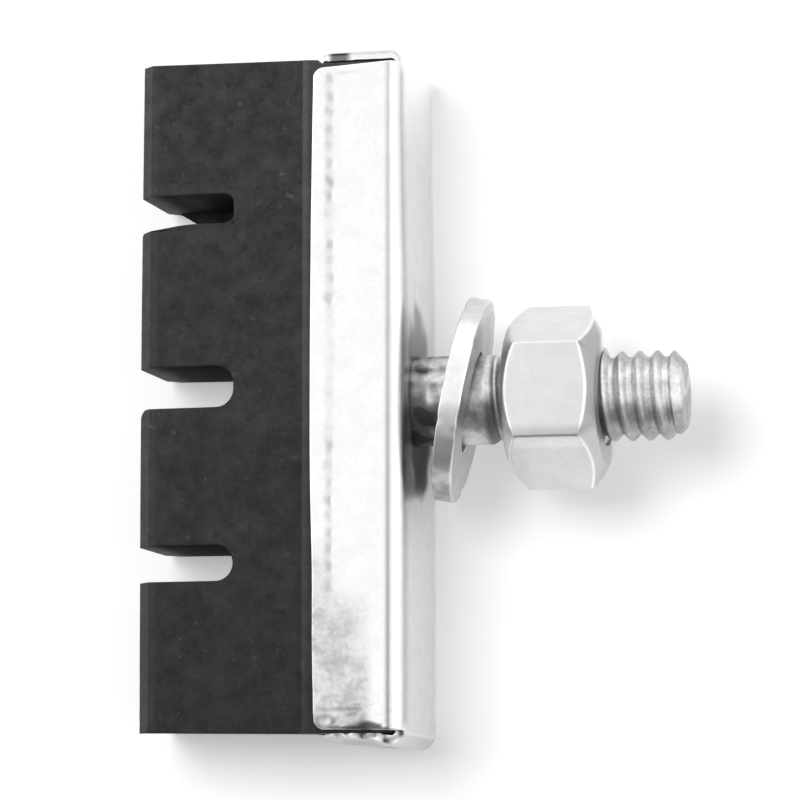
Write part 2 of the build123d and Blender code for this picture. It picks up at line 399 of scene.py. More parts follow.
def washer_section():
    """Rounded rectangle of the washer: places along its axis and radii, with their outward normals.

    Its long straight stretches are split, so that waves in them show."""
    middle = (WASHER_RADIUS + WASHER_HOLE) / 2
    loop = np.array([[
        [-WASHER_HALF, middle],
        [-WASHER_HALF, WASHER_RADIUS],
        [WASHER_HALF, WASHER_RADIUS],
        [WASHER_HALF, WASHER_HOLE],
        [-WASHER_HALF, WASHER_HOLE],
        [-WASHER_HALF, middle],
    ]])
    loop = soften(loop, WASHER_CUTS, 7)[0][:-1]
    ahead = np.roll(loop, -1, 0) - loop
    share = np.linspace(0, 1, 5, endpoint=False)
    split = np.linalg.norm(ahead, axis=1) > 0.3
    parts = loop[:, None] + share[:, None] * ahead[:, None]
    loop = parts[split[:, None] | (share == 0)]
    ahead = np.roll(loop, -1, 0) - np.roll(loop, 1, 0)
    normal = np.stack([-ahead[:, 1], ahead[:, 0]], -1)
    return loop, normal / np.linalg.norm(normal, axis=1, keepdims=True)


def make_washer(finish):
    """Rounded rectangle carried round a leaning axis, with a rolled edge on one side, as a punch leaves it.

    Sine waves in its rim and faces, and bell-shaped nicks in its two outer edges, push its points along
    the section's own normals."""
    lean_y, lean_z = -np.tan(WASHER_LEAN)
    axis = np.array([1, lean_y, lean_z])
    axis /= np.linalg.norm(axis)
    side = np.array([-axis[1], axis[0], 0])
    side /= np.linalg.norm(side)
    up = np.cross(axis, side)
    turn = np.linspace(0, 2 * np.pi, WASHER_COLUMNS, endpoint=False)
    loop, normal = washer_section()
    radial = np.cos(turn)[:, None] * side + np.sin(turn)[:, None] * up
    points = loop[:, None, :1] * axis + loop[:, None, 1:] * radial
    push = normal[:, None, :1] * axis + normal[:, None, 1:] * radial
    rough = ripple(points, 0.9, 11) * 0.006 + ripple(points, 2.5, 12) * 0.010 - 0.02
    rng = np.random.default_rng(3)
    spots = rng.uniform(0, 2 * np.pi, NICKS)
    nick = (np.cos(spots)[:, None] * side + np.sin(spots)[:, None] * up) * NICK_RING
    nick += axis * rng.choice([-WASHER_HALF, WASHER_HALF], NICKS)[:, None]
    away = np.linalg.norm(points[:, :, None] - nick, axis=-1)
    rough -= (NICK_DEPTH * bell(away, 0, rng.uniform(0.15, 0.4, NICKS))).sum(-1)
    # painted shade: on the face towards the shoe, the face towards the nut, and the rim's upper and lower
    # side, the lower with a random mottle
    facing, outward = normal[:, None, 0], normal[:, None, 1]
    y = points[..., 1]
    soil = smooth((-facing - 0.6) * 3) * np.clip(0.35 + 0.05 * ripple(points, 1.5, 13), 0, 1)
    soil = soil + 0.36 * smooth((facing - 0.6) * 3)
    rim = smooth((outward - 0.6) * 3)
    mottle = 0.18 * smooth(0.5 + 0.6 * ripple(points, 0.9, 14))
    soil = soil + 0.30 * rim * smooth((y - 3.0) / 2.5)
    soil = soil + rim * smooth((-y - 0.5) / 2) * (mottle + 0.35 * smooth((-y - 5.0) / 1.6))
    points = (WASHER_LOW + WASHER_HIGH) / 2 + points + push * rough[..., None]
    faces = grid_faces(*points.shape[:2], wrap_rows=True)
    add_piece("loose_washer", points.reshape(-1, 3), faces.tolist(), "washer", "washer_steel", finish,
              soil=np.clip(soil, 0, 1).ravel())


# Shoe


def shoe_lines():
    """Grid lines of the blank: across it, along a wall as shares of its length, and along a tongue."""
    flap = WALL - FOLD
    crimp = flap - CRIMP
    side = FLAT_U + ARC + np.concatenate([
        np.linspace(-ARC, 0, 13)[1:],
        np.linspace(0, crimp - CRIMP_BAND, 24)[1:],
        np.linspace(crimp - CRIMP_BAND, crimp + CRIMP_BAND, 13)[1:],
        np.linspace(crimp + CRIMP_BAND, flap - EDGE[-1], 9)[1:-1],
        flap - EDGE[::-1],
    ])
    beside = np.linspace(HOLE, FLAT_U, 6)[1:]
    plate = np.concatenate([-beside[::-1], np.linspace(-HOLE, HOLE, 17), beside])
    across = np.concatenate([-side[::-1], plate, side])
    share = np.concatenate([
        np.linspace(0, HOLE, 9),
        np.linspace(HOLE, FLAT_U, 8)[1:],
        np.linspace(FLAT_U, FLAT_V - 0.25, 122)[1:],
        FLAT_V - EDGE[::-1],
    ]) / FLAT_V
    along = np.concatenate([-share[::-1], share[1:]])
    reach = np.concatenate([
        np.linspace(0, ARC, 11)[1:],
        ARC + np.linspace(0, TONGUE_END - FLAT_V - ARC - 0.25, 22)[1:],
        TONGUE_END - FLAT_V - EDGE[::-1],
    ])
    return across, along, reach


def fold(s, flat):
    """Drop, place and angle at distance s from the middle of a line: flat, then folded, then straight."""
    angle = np.clip((np.abs(s) - flat) / FOLD, 0, np.pi / 2)
    rest = np.clip(np.abs(s) - flat - ARC, 0, None)
    out = np.minimum(np.abs(s), flat) + FOLD * np.sin(angle)
    return -FOLD * (1 - np.cos(angle)) - rest, np.sign(s) * out, angle


def shoe_sheet():
    """A cross-shaped blank folded along four lines: a grid of places and normals, and masks of its regions.

    On the blank, u runs across and v along. Each goes flat, then round a fold, then down a flap, so a
    point is the sum of the two drops, and its normal turns with the fold. The walls' ends lean, and
    walls and tongues have quarter-circle corners. The square rim of the hole is drawn into a circle,
    and the change fades out at the folds. Cells between a wall and a tongue, and in the hole, are left
    out. Parabolas lean the tongues and bow the walls."""
    across, along, reach = shoe_lines()
    far = np.abs(across)[:, None]
    on_flat = far <= FLAT_U + TINY
    on_tongue = np.pad(np.zeros(len(along), bool), len(reach), constant_values=True)
    down = np.clip((far - FLAT_U - ARC) / (WALL - FOLD), 0, 1)
    corner = rolled(WALL_END - far, WALL_CORNER)
    upper = FLAT_V - WALL_LEAN[0] * down - corner
    lower = FLAT_V - WALL_LEAN[1] * down - corner * 1.1
    walls = np.where(along > 0, along * upper, along * lower)
    tongue = FLAT_V + reach
    v = np.concatenate([-tongue[::-1] + 0 * far, walls, tongue + 0 * far], 1)
    narrow = 1 - rolled(TONGUE_END - tongue, TONGUE_CORNERS) / FLAT_U
    width = np.concatenate([narrow[0, ::-1], np.ones(len(along)), narrow[1]])
    u = across[:, None] * np.where(on_flat, width, 1)
    ring = np.maximum(np.abs(u), np.abs(v))
    round_off = np.clip((FLAT_U - ring) / (FLAT_U - HOLE), 0, 1) * (ring > TINY)
    draw = 1 + round_off * (ring / np.maximum(np.hypot(u, v), TINY) - 1)
    u, v = u * draw, v * draw
    drop_u, z, angle_u = fold(u, FLAT_U)
    drop_v, y, angle_v = fold(np.where(on_tongue, v, np.clip(v, -FLAT_V, FLAT_V)), FLAT_V)
    place = np.stack([drop_u + drop_v, y, z], -1)
    normal = np.stack([
        np.cos(angle_u) * np.cos(angle_v), np.sin(angle_v) * np.sign(v), np.sin(angle_u) * np.sign(u),
    ], -1)
    to_tongue = np.minimum(TONGUE_END - np.abs(v), FLAT_U * width - np.abs(u))
    to_wall = np.minimum(WALL_END - np.abs(u), np.where(v > 0, upper, lower) - np.abs(v))
    to_edge = np.where(on_tongue, to_tongue, np.where(on_flat, FAR_AWAY, to_wall))
    # each tongue leans in towards its free end, and the lower one is pressed in under the walls' ends
    flap = np.clip((np.abs(v) - FLAT_V - ARC) / (TONGUE_END - FLAT_V - ARC), 0, 1) * on_tongue
    place[..., 1] -= np.where(v > 0, 0.08, -0.4) * flap**2
    place[..., 1] += 0.3 * smooth((np.abs(z) - 2.5) / 2.5) * smooth(flap * 3) * (v < 0)
    # the free edge of each wall bows, more at the lower end
    bow = 0.06 + np.where(v > 0, 0.22, 0.33) * np.clip(np.abs(v) / FLAT_V, 0, 1) ** 2
    place[..., 0] += ~on_tongue * down * (bow + 0.09 * bell(v, -12, 4))
    # middles of the cells, with those of the tongues far from the hole
    far_mid = (far[1:] + far[:-1]) / 2
    along_mid = np.pad(np.abs(along[1:] + along[:-1]) / 2 * FLAT_V, len(reach), constant_values=FAR_AWAY)
    open_corner = (far_mid > FLAT_U) & (on_tongue[1:] | on_tongue[:-1])
    open_hole = (far_mid < HOLE) & (along_mid < HOLE)
    return SimpleNamespace(
        u=u, v=v, place=place, normal=normal, flap=flap, down=down * ~on_tongue, on_tongue=on_tongue,
        on_wall=~on_flat & ~on_tongue, on_plate=on_flat & ~on_tongue, to_edge=np.clip(to_edge, 0, None),
        keep=~open_corner & ~open_hole,
    )


def crimp_presses(sheet):
    """Depth of the crimp line, from 0 to 1: a flat-topped bell across a wavering line, on both walls.

    A sine wave along it makes short uneven presses. They are fainter beside the stud."""
    x, y = sheet.place[..., 0], sheet.place[..., 1]
    waver = 0.05 * ripple(sheet.place, 1.1, 27)
    line = bell(x + waver, CRIMP - WALL, 0.31 + 0.05 * ripple(sheet.place, 1.3, 46), 2.6)
    beat = smooth(0.5 + 0.8 * np.sin(y * 2 * np.pi / CRIMP_BEAT + 1.6 * ripple(sheet.place, 6, 25)))
    uneven = np.clip(0.85 + 0.30 * ripple(sheet.place, 2.2, 28), 0.3, 1.3)
    faint = 1 - 0.7 * bell(y, 1, 4.2, 4)
    stretch = smooth((22.9 - y) / 0.4) * smooth((y + 15) / 2)
    return line * (0.52 + 0.48 * beat) * uneven * faint * stretch * sheet.on_wall


def shoe_relief(sheet):
    """Height of the small forms on the outside of the sheet, and the masks of the marks among them.

    Dents are sums of sine waves. Lines, a ridge and a curled corner are bell curves, with a cosine for
    the curl. The crushed lip at the lower end turns in beyond a bell-shaped line."""
    place, on_wall = sheet.place, sheet.on_wall
    x, y = place[..., 0], place[..., 1]
    height = ripple(place, 3.2, 21) * 0.006 + ripple(place, 1.3, 22) * 0.002
    # the lower part of the walls is scuffed
    slant = -y - 9.0 - 0.7 * (x + 6.5)
    scuff = smooth((slant + ripple(place, 3, 26)) / 7) * smooth((-x - 1.9) / 0.9) * (sheet.down > 0)
    height += scuff * (ripple(place, 1.6, 23) * 0.008 + ripple(place, 0.7, 24) * 0.004)
    press = crimp_presses(sheet)
    height -= 0.05 * press
    # lower end: two press lines and a ridge, a curled corner, then a crushed lip
    lines = bell(y + 0.05 * ripple(place, 2, 43), PRESS_LINE, 0.11)
    lines = lines * smooth((-x - 2.6) * 2) * smooth((x + 6.0) * 2)
    short = bell(y, SHORT_LINE, 0.12) * bell(x, -2.9, 0.8, 4) * smooth(ripple(place, 0.7, 44))
    lines = lines + 0.7 * short
    ridge = bell(y, RIDGE, 0.12) * smooth((-x - 2.0) * 2)
    height += on_wall * (0.03 * ridge - 0.05 * lines * np.clip(0.6 + 0.5 * ripple(place, 1.5, 29), 0, 1))
    curl = np.hypot((x - CURL[0]) / 0.8, (y - CURL[1]) / 0.5)
    height -= on_wall * 0.07 * np.cos(4 * curl) * bell(curl, 0, 1) * (y < 0)
    sag = 0.52 * bell(x, LIP, np.where(x < LIP, 1.7, 1.4)) + 0.05 * ripple(place, 1.2, 30)
    turned = on_wall * smooth(sheet.down * 20) * np.clip(-y - (FLAT_V - 0.08 - sag), 0, None)
    height -= 0.6 * turned + on_wall * smooth((-y - 21.9) / 0.5) * np.abs(ripple(place, 0.9, 33)) * 0.03
    # the lower tongue is crumpled
    height += smooth(sheet.flap * 4) * (sheet.v < 0) * (ripple(place, 1.3, 40) * 0.02 - 0.04)
    return height, SimpleNamespace(scuff=scuff, press=press, lines=lines, curl=curl, turned=turned)


def shoe_soil(sheet, marks):
    """Dirt and painted shade on the outside: painted dark reflections along the folds, painted shade round
    the stud and on the lower tongue, and darker marks.
    """
    place, far, walls = sheet.place, np.abs(sheet.u), ~sheet.on_tongue
    x, y, z = np.moveaxis(place, -1, 0)
    # painted dark reflections where a wall's fold ends, and where it starts, more on the upper side
    fold_dark_reflection = bell(far, FLAT_U + ARC, 0.17) * walls
    plate_dark_reflection = bell(far, FLAT_U, np.where(far > FLAT_U, 0.42, 0.9)) * np.where(sheet.u > 0, 1, 0.25)
    plate_dark_reflection = plate_dark_reflection * walls * smooth((24 - np.abs(y)) / 1.5)
    # painted shade: a dark oval round the stud for the washer's shade and reflection, on a plain grey layer
    # of painted shade
    oval = np.hypot((z - 0.3 - 0.1 * y) / 3.6, y / 7.4) + 0.05 * ripple(place, 2, 36)
    washer_shade = smooth((1.05 - oval) / 0.25) * np.interp(y, [-2, 4], [1, 0.65])
    shade_layer = smooth((FLAT_U - far) / 1.2) * (1 - 0.8 * smooth((y - 16) / 6))
    soil = marks.press * 0.35 + fold_dark_reflection * (0.52 - 0.008 * y) + plate_dark_reflection * 0.54
    soil += (0.75 * washer_shade + 0.23 * shade_layer) * sheet.on_plate
    # lower end of the walls: darker press lines and curl, and painted shade at the very end and on the
    # turned-in lip; and a short line at the upper end
    spots = 0.5 * marks.lines + 0.16 * smooth((-y - 22.45) / 0.15) * smooth((-x - 2.4) * 2)
    spots += 0.4 * bell(marks.curl, 0.75, 0.22) * (y < 0)
    spots += 0.2 * bell(y, 22.75, 0.09) * bell(x, -3.9, 0.9, 4)
    # painted shade on the turned-in lip
    soil += spots * sheet.on_wall + np.clip(marks.turned * 3, 0, 0.7)
    # painted shade on the lower tongue, with a smear, less towards the plate
    smear = (0.05 * ripple(place, 1.6, 41) + 0.02 * ripple(place, 0.6, 42)) * smooth(sheet.flap * 4)
    lower_tongue_shade = smooth((-sheet.v - FLAT_V) / 0.4) * sheet.on_tongue
    return soil + lower_tongue_shade * (0.58 + smear) * (1 - 0.35 * smooth((x + 2.6) / 1.2))


def make_shoe(finish):
    """One sheet between an outside and an inside, each a distance along the normal from the folded blank.

    Edges are rolled by a quarter circle, and the plate is dished by an oval paraboloid to the power 1.5
    round the stud. The points keep their dirt and painted shade, their scuffs and a haze that blurs the
    plate."""
    sheet = shoe_sheet()
    relief, marks = shoe_relief(sheet)
    x, y, z = np.moveaxis(sheet.place, -1, 0)
    drop = rolled(sheet.to_edge, EDGE_RADIUS)
    front = sheet.place + sheet.normal * (np.minimum(relief, 0.02) - 0.02 - drop)[..., None]
    dish = np.clip(1 - (z / 3.6) ** 2 - (y / 7.2) ** 2, 0, 1) ** 1.5
    front[..., 0] -= 0.22 * dish * sheet.on_plate
    # the upper end of the plate falls back a little
    front[..., 0] -= 0.22 * smooth((y - 5) / 14) * sheet.normal[..., 0]
    back = sheet.place - sheet.normal * (SHEET + np.minimum(relief, 0) * 0.6 - drop)[..., None]
    points, faces, source, across = slab(front, back, sheet.keep, SHOE_LAYERS)

    def at_points(value):
        """A value of the grid, at each point of the solid."""
        return np.broadcast_to(value, x.shape).ravel()[source]

    # cut edges and the ends of the tongues are uneven
    cut = np.clip(1 - at_points(sheet.to_edge) / 0.2, 0, 1)
    on_end = at_points(sheet.on_tongue)
    crush = cut * on_end * np.where(points[:, 1] < 0, 0.07, 0.025) * (ripple(points, 0.9, 34) - 0.6)
    points += crush[:, None] * np.array([0.4, 0.35, 0.8]) * np.sign(points)
    # cut edges are bare and grey, with a dark patch on the upper tongue's
    bare = np.where(points[:, 1] > 0, 0.05 + 0.22 * (across < 0.3), 0.35 + 0.3 * ripple(points, 0.7, 45))
    bare = np.clip(np.where(on_end, bare, 0.45), 0, 1) * cut * (on_end | (across > 0.02))
    patch = at_points(0.8 * bell(x, -4.75, 0.75, 8) * (y > 0) * sheet.on_tongue) * cut
    outside = across < 0.5
    soil = at_points(shoe_soil(sheet, marks)) * outside * (1 - cut * on_end) + bare + patch
    haze = 0.9 * bell(y, 0, 8.5, 4) * smooth((FLAT_U + 1.0 - np.abs(sheet.u)) / 0.3) * ~sheet.on_tongue
    add_piece("folded_shoe", points, faces[:, ::-1].tolist(), "shoe", "shoe_plate", finish, 50,
              soil=np.clip(soil, 0, 1), scuff=at_points(marks.scuff) * outside, haze=at_points(haze))


# Rubber block


def block_lines():
    """Grid lines of the block, along X and along Y, closer together at edges and round the slots."""
    borders = [-BLOCK_END]
    for slot in SLOTS:
        borders += [slot.middle - slot.width / 2, slot.middle + slot.width / 2]
    borders.append(BLOCK_END)
    steps = np.concatenate([EDGE, np.linspace(0.3, 0.9, 5)])
    y_parts = [[-NOTCH, NOTCH]]
    for low, high in zip(borders[::2], borders[1::2]):
        y_parts += [low + steps, np.linspace(low + 1.2, high - 1.2, 30), high - steps]
    for slot in SLOTS:
        y_parts.append(slot.middle - slot.width / 2 * np.cos(np.linspace(0, np.pi, 21)))
    x_parts = [
        FACE + EDGE,
        np.linspace(FACE + 0.3, FACE + 0.8, 5),
        FACE + BEVEL + np.array([-0.04, 0, 0.04]),
        np.linspace(FACE + 1.15, SLOT_BEND, 26),
        np.linspace(SLOT_BEND, SLOT_BEND + BULGE, 14),
        np.linspace(SLOT_BEND + BULGE + 0.2, -7.8, 8),
        [-7.6, -7.5, STRIP, -7.38, -7.34, -7.2, -6.9, -6.75, -6.6, -6.45, -6.28, -6.22, -4.5, NOTCH_X, -1.8],
        BACK - EDGE,
    ]
    return [np.unique(np.round(np.concatenate(parts), 5)) for parts in (x_parts, y_parts)]


def block_half(x):
    """Half thickness, in straight lines: over the bevel, towards the shoe, and up a step at the strip."""
    places = [FACE, FACE + BEVEL, STRIP, STRIP + 0.08, -6.7, BACK]
    halves = [BLOCK_RIM - BEVEL, BLOCK_RIM, *(BLOCK_HALF - np.array([0.18, 0.05, 0.01, 0]))]
    return np.interp(x, places, halves)


def slot_end(aside, slot):
    """X of a slot's end, at a distance aside from its middle: straight, with quarter-circle corners."""
    off = np.clip((np.abs(aside) - slot.width / 2 + slot.corner) / slot.corner, 0, 1)
    return FACE + SLOT_DEPTH - slot.corner + slot.corner * np.sqrt(1 - off**2)


def cut_slot(x, y, slot):
    """Moves the grid's points to a slot's border. Returns them and their distances from it, where near.

    The lines behind the slot bulge round its end, its lower edge is a quarter circle, and the land below
    it may grow into it by a smooth ramp along X."""
    aside = np.abs(y - slot.middle)
    behind = (aside <= slot.width / 2 + TINY) & (x >= SLOT_BEND - TINY)
    after = np.clip((x - SLOT_BEND) / BULGE, 0, 1)
    x = np.where(behind, x + (slot_end(aside, slot) - SLOT_BEND) * (1 - after) ** 1.5, x)
    below = slot.middle - slot.width / 2 - y
    by_lip = (below >= -TINY) & (below < 1.0) & (x < FACE + 1.0)
    x = np.where(by_lip, x + rolled(np.clip(below, 0, None), slot.lip) * (1 - (x - FACE)), x)
    fade = np.clip(1 - np.abs(below) / np.where(below > 0, 4.0, slot.width), 0, 1)
    y = y + slot.closing * smooth((x - FACE) / CLOSING_LENGTH) * fade
    aside = np.abs(y - slot.middle)
    corner_x = FACE + SLOT_DEPTH - slot.corner
    corner_y = slot.width / 2 - slot.corner
    past_corner = np.hypot(np.clip(x - corner_x, 0, None), np.clip(aside - corner_y, 0, None))
    outside = np.where(x < corner_x, aside - slot.width / 2, past_corner - slot.corner)
    near = (x < FACE + SLOT_DEPTH + 1) & (aside < slot.width)
    return x, y, np.where(near, np.abs(outside), FAR_AWAY)


def upper_skin():
    """The skin at the back of the upper slot: a thin sheet over its outline, towards the bench.

    Its free edge comes nearer to the working face by the power 1.5 of the way across the slot."""
    slot = UPPER_SLOT
    s = np.linspace(-1, 1, 25)
    t = np.linspace(0, 1, 13)[:, None]
    stop = slot_end(s * slot.width / 2, slot) + 0.05
    start = FACE + 3.3 - 1.14 * np.clip(s + 0.7, 0, 2) ** 1.5
    x = start + t * (stop - start)
    closing = slot.closing * (1 - s) / 2 * smooth((x - FACE) / CLOSING_LENGTH)
    y = slot.middle + s * (slot.width / 2 + 0.03) + closing
    low = np.stack([x, y, 0.04 - block_half(x)], -1)
    rise = SKIN + 0.05 * ripple(low, 1.2, 35)
    high = low + rise[..., None] * np.array([0, 0, 1])
    points, faces, _, _ = slab(high, low, np.ones((len(t) - 1, len(s) - 1), bool))
    return points, faces


def make_block(finish):
    """Block between two height fields over one outline: both taper to the working face and end in a bevel.

    The grid's lines run along X and Y. The cells in a slot are left out. Each face drops by a quarter
    circle near the outline. Outside the shoe the ends lean, as the saw left them, and the stud's head
    has a notch in the back. The points keep the painted shade of the slots' walls."""
    x_line, y_line = block_lines()
    x, y = np.meshgrid(x_line, y_line, indexing="ij")
    away = np.minimum(BLOCK_END - np.abs(y), np.minimum(x - FACE, BACK - x))
    for slot in SLOTS:
        x, y, to_slot = cut_slot(x, y, slot)
        away = np.minimum(away, to_slot)
    height = block_half(x) - rolled(np.clip(away, 0, None), BLOCK_EDGE)
    # sawn ends, outside the shoe
    to_top = np.clip((y - SAWN) / SAWN_LENGTH, 0, 1)
    to_foot = np.clip((-y - SAWN) / SAWN_LENGTH, 0, 1)
    top = np.interp(x, [FACE, -7.5, -6.28, -6.22], [0.50, 0.30, 0.24, 0]) * to_top
    foot = np.interp(x, [FACE, -7.5], [0.18, 0]) * to_foot
    lean = np.interp(x, [FACE, -7.5, -6.45], [0.32, 0.36, 0]) * to_foot
    # the working face falls back a little towards both ends
    worn = np.interp(y, [-24, -10, 6, 24], [0.05, 0, 0, 0.12]) * np.clip((FACE + 3 - x) / 3, 0, 1)
    place = np.stack([x + worn, y + top + foot, height], -1)
    place[..., 2] += ripple(place, 1.1, 31) * 0.005 + ripple(place, 4, 32) * 0.008 - 0.013
    under = place * np.array([1, 1, -1]) + lean[..., None] * np.array([0, 1, 0])
    x_mid = ((x_line[1:] + x_line[:-1]) / 2)[:, None]
    y_mid = (y_line[1:] + y_line[:-1]) / 2
    in_slot = np.any([np.abs(y_mid - slot.middle) < slot.width / 2 for slot in SLOTS], 0)
    keep = ~(in_slot & (x_mid < SLOT_BEND)) & ~((np.abs(y_mid) < NOTCH) & (x_mid > NOTCH_X))
    points, faces, source, _ = slab(place, under, keep, BLOCK_LAYERS)
    # painted shade on the slots' walls, growing away from the working face, but not deep in the upper one
    fresh = np.zeros(x.shape)
    before_bend = (x_line <= SLOT_BEND + TINY)[:, None]
    for slot in SLOTS:
        brink = before_bend & (np.abs(y_line - slot.middle) <= slot.width / 2 + TINY)
        deep = smooth((x - FACE - 1.8) / 2.2) if slot is UPPER_SLOT else 0
        fresh = np.where(brink, 0.92 * smooth((x - FACE - 0.7) / 1.8) * (1 - deep), fresh)
    skin, skin_faces = upper_skin()
    faces = np.concatenate([faces, skin_faces + len(points)])
    fresh = np.concatenate([fresh.ravel()[source], np.zeros(len(skin))])
    points = np.concatenate([points, skin])
    add_piece("slotted_block", points, faces.tolist(), "rubber_block", "rubber", finish, 50, fresh=fresh)


# Materials


def new_tree(name):
    """An empty node material, and its node tree."""
    material = bpy.data.materials.new(name)
    material.use_nodes = True
    material.node_tree.nodes.clear()
    return material, material.node_tree


def feed(tree, socket, value):
    """Links an output to a socket, or sets the socket to a plain value."""
    if isinstance(value, bpy.types.NodeSocket):
        tree.links.new(value, socket)
    else:
        socket.default_value = value


def put(tree, kind, settings=None, ordered=(), **inputs):
    """Adds a node right of the others, sets its options, and feeds its inputs, in order or by name."""
    node = tree.nodes.new(kind)
    node.location = (NODE_STEP * len(tree.nodes), 0)
    for key, value in (settings or {}).items():
        setattr(node, key, value)
    for socket, value in zip(node.inputs, ordered):
        feed(tree, socket, value)
    for key, value in inputs.items():
        feed(tree, node.inputs[key.replace("_", " ")], value)
    return node


def calculate(tree, operation, *values):
    """Result of one operation on values."""
    return put(tree, "ShaderNodeMath", {"operation": operation}, values).outputs["Value"]


def blend(tree, kind, a, b, factor=1.0, mode="MIX"):
    """Mix of a and b, which are colours or numbers."""
    settings = {"data_type": kind, "blend_type": mode}
    return put(tree, "ShaderNodeMix", settings, Factor=factor, A=a, B=b).outputs["Result"]


def remap(tree, value, old, new, kind="SMOOTHSTEP"):
    """Takes a value from an old range to a new one, held at its ends."""
    node = put(tree, "ShaderNodeMapRange", {"interpolation_type": kind}, Value=value,
               From_Min=old[0], From_Max=old[1], To_Min=new[0], To_Max=new[1])
    return node.outputs["Result"]


def ramp(tree, value, stops):
    """A colour ramp of grey stops, each a position and a grey."""
    node = put(tree, "ShaderNodeValToRGB", Fac=value)
    elements = node.color_ramp.elements
    while len(elements) < len(stops):
        elements.new(0.5)
    for element, (position, grey) in zip(elements, stops):
        element.position = position
        element.color = (grey, grey, grey, 1)
    return node.outputs["Color"]


def noise(tree, coords, scale, detail, roughness, distortion=0.0):
    """Noise of a scale, in blotches per metre."""
    node = put(tree, "ShaderNodeTexNoise", Vector=coords, Scale=scale, Detail=detail,
               Roughness=roughness, Distortion=distortion)
    return node.outputs["Fac"]


def kept(tree, name):
    """The value kept on a piece's points by name."""
    return put(tree, "ShaderNodeAttribute", {"attribute_name": name}).outputs["Fac"]


def bumped(tree, height, strength, distance):
    """Normal of a surface with a shallow bump."""
    node = put(tree, "ShaderNodeBump", Strength=strength, Distance=distance, Height=height)
    return node.outputs["Normal"]


def finish_with(tree, **inputs):
    """Ends a material's tree with one shader and the output."""
    shader = put(tree, "ShaderNodeBsdfPrincipled", **inputs)
    put(tree, "ShaderNodeOutputMaterial", Surface=shader.outputs["BSDF"])


def rubber_finish():
    """Matt black rubber: blotches, pale and dark flecks, a fine grain, paler borders, and painted light that
    makes it paler towards the upper end.

    The borders are the bevel at the working face and the strip along the shoe, told by X in metres, the
    first with some noise added to it. The strip has painted shade next to the shoe's wall. The slots'
    walls have painted shade, darker and duller."""
    material, tree = new_tree("black_rubber")
    coords = put(tree, "ShaderNodeTexCoord").outputs["Object"]
    place = put(tree, "ShaderNodeSeparateXYZ", Vector=coords).outputs
    blotch = noise(tree, coords, 700, 4, 0.6)
    fleck = noise(tree, coords, 1500, 3, 0.5, 0.15)
    grain = noise(tree, coords, 4200, 3, 0.6)
    tone = ramp(tree, blotch, ((0.30, 0.010), (0.50, 0.020), (0.72, 0.032)))
    dark = ramp(tree, fleck, ((0.30, 0.55), (0.40, 1.0)))
    pale = ramp(tree, fleck, ((0.66, 0.0), (0.76, 0.035)))
    shaded = blend(tree, "RGBA", tone, dark, mode="MULTIPLY")
    flecked = blend(tree, "RGBA", shaded, pale, mode="ADD")
    # painted light: paler towards the upper end, where the light comes from
    length = (-0.024, 0.024)
    painted_upward_light = remap(tree, place["Y"], length, (0.80, 1.45), "LINEAR")
    with_upward_light = blend(tree, "RGBA", flecked, painted_upward_light, mode="MULTIPLY")
    # paler borders at the working face and along the shoe; the strip along the shoe has painted light that
    # grows towards the upper end, and painted shade next to the shoe's wall
    wander = calculate(tree, "MULTIPLY_ADD", blotch, 0.0012, place["X"])
    face = remap(tree, wander, (-0.0174, -0.0178), (0.0, 0.012))
    strip = remap(tree, place["X"], (-0.00745, -0.00735), (0.0, 0.055))
    # painted light on the strip, paler towards the upper end, and painted shade next to the shoe's wall
    strip_upward_light = remap(tree, place["Y"], length, (0.3, 1.0), "LINEAR")
    corner = remap(tree, place["X"], (-0.0071, -0.0068), (1.0, 0.35), "LINEAR")
    near = calculate(tree, "MULTIPLY", strip_upward_light, corner)
    faded = calculate(tree, "MULTIPLY", strip, near)
    pale_borders = calculate(tree, "ADD", face, faded)
    mixed = blend(tree, "RGBA", with_upward_light, pale_borders, mode="ADD")
    # painted shade on the slots' walls: darker and duller
    fresh = kept(tree, "fresh")
    black = blend(tree, "RGBA", mixed, (0.003, 0.003, 0.003, 1), fresh)
    rough = ramp(tree, grain, ((0.3, 0.55), (0.7, 0.72)))
    matt = blend(tree, "FLOAT", rough, 1.0, fresh)
    height = blend(tree, "FLOAT", grain, fleck, 0.5)
    normal = bumped(tree, height, 0.5, 0.00008)
    finish_with(tree, Specular_IOR_Level=0.30, Base_Color=black, Roughness=matt, Normal=normal)
    return material


def plating_group():
    """Node group for plated steel: blotches of two sizes that shade, dull and pit the surface."""
    group = bpy.data.node_groups.new("plated_skin", "ShaderNodeTree")
    face = group.interface
    for name, value in (("Bright", 0.7), ("Dull", 0.5), ("Smooth", 0.2), ("Rough", 0.4), ("Size", 900.0)):
        face.new_socket(name=name, in_out="INPUT", socket_type="NodeSocketFloat").default_value = value
    face.new_socket(name="Color", in_out="OUTPUT", socket_type="NodeSocketColor")
    face.new_socket(name="Roughness", in_out="OUTPUT", socket_type="NodeSocketFloat")
    face.new_socket(name="Height", in_out="OUTPUT", socket_type="NodeSocketFloat")
    given = put(group, "NodeGroupInput").outputs
    coords = put(group, "ShaderNodeTexCoord").outputs["Object"]
    finer = calculate(group, "MULTIPLY", given["Size"], 4.3)
    wide = noise(group, coords, given["Size"], 4, 0.55, 0.4)
    fine = noise(group, coords, finer, 3, 0.6)
    both = blend(group, "FLOAT", wide, fine, 0.4)
    spread = remap(group, both, (0.36, 0.62), (0.0, 1.0))
    shade = blend(group, "FLOAT", given["Dull"], given["Bright"], spread)
    dull = blend(group, "FLOAT", given["Rough"], given["Smooth"], spread)
    put(group, "NodeGroupOutput", Color=shade, Roughness=dull, Height=both)
    return group


